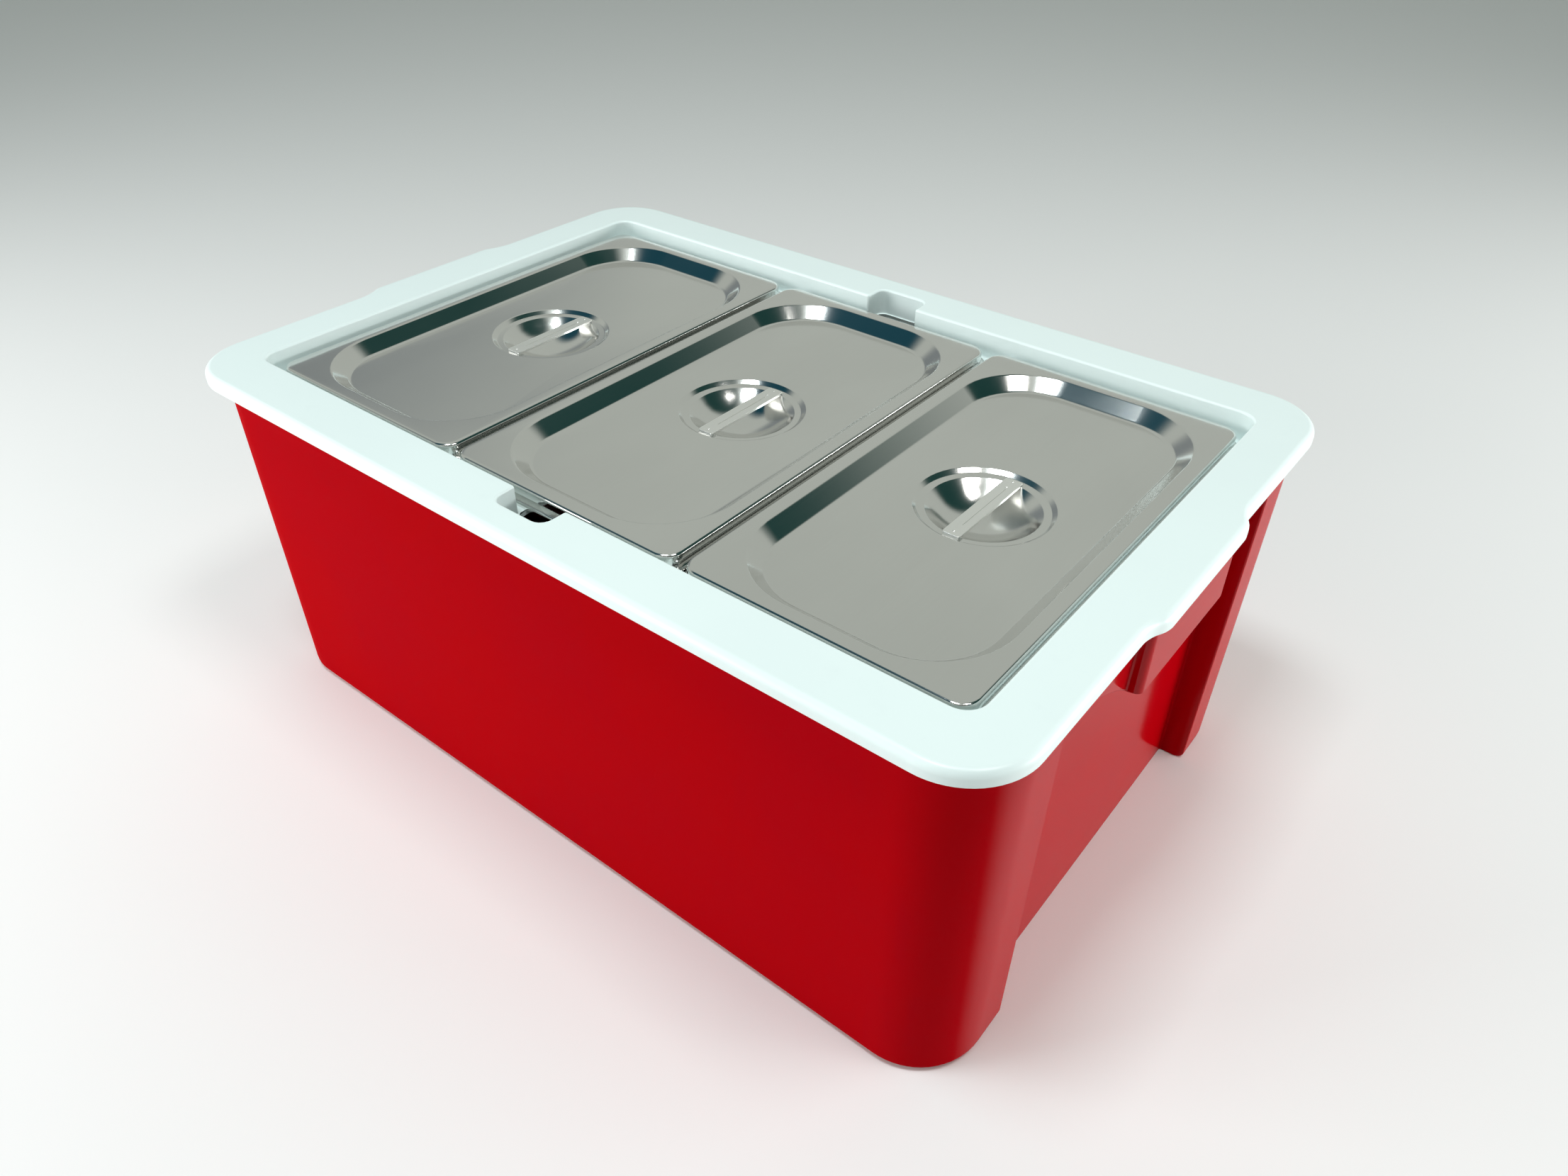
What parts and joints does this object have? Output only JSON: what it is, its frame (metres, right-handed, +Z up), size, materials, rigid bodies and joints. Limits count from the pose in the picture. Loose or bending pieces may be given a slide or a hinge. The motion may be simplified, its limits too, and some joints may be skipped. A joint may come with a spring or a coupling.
{
  "type": "catering_tub",
  "caption": "Red moulded catering tub with end grips, a white frame over the rim and steel food pans under strap-handled lids",
  "frame": {"origin": "centre of the face the tub stands on", "axes": "+X along the tub's long side, +Y along its short side, +Z up"},
  "size_m": [0.6128, 0.408, 0.245],
  "materials": {
    "red_plastic": "glossy",
    "white_plastic": "satin",
    "steel": "satin"
  },
  "bodies": {
    "tub": {"tub": "red_plastic"},
    "frame": {"pan_frame": "white_plastic"},
    "left_pan": {"pan_left": "steel"},
    "middle_pan": {"pan_middle": "steel"},
    "right_pan": {"pan_right": "steel"},
    "left_lid": {"lid_left": "steel", "strap_left": "steel"},
    "middle_lid": {"lid_middle": "steel", "strap_middle": "steel"},
    "right_lid": {"lid_right": "steel", "strap_right": "steel"}
  },
  "joints": [
    {"name": "frame_lift", "type": "slide", "parent": "tub", "child": "frame", "axis": [0, 0, 1], "range_m": [0, 0.13]},
    {"name": "left_pan_lift", "type": "slide", "parent": "frame", "child": "left_pan", "axis": [0, 0, 1], "range_m": [0, 0.12]},
    {"name": "left_lid_lift", "type": "slide", "parent": "left_pan", "child": "left_lid", "axis": [0, 0, 1], "range_m": [0, 0.06]},
    {"name": "middle_pan_lift", "type": "slide", "parent": "frame", "child": "middle_pan", "axis": [0, 0, 1], "range_m": [0, 0.12]},
    {"name": "middle_lid_lift", "type": "slide", "parent": "middle_pan", "child": "middle_lid", "axis": [0, 0, 1], "range_m": [0, 0.06]},
    {"name": "right_pan_lift", "type": "slide", "parent": "frame", "child": "right_pan", "axis": [0, 0, 1], "range_m": [0, 0.12]},
    {"name": "right_lid_lift", "type": "slide", "parent": "right_pan", "child": "right_lid", "axis": [0, 0, 1], "range_m": [0, 0.06]}
  ]
}
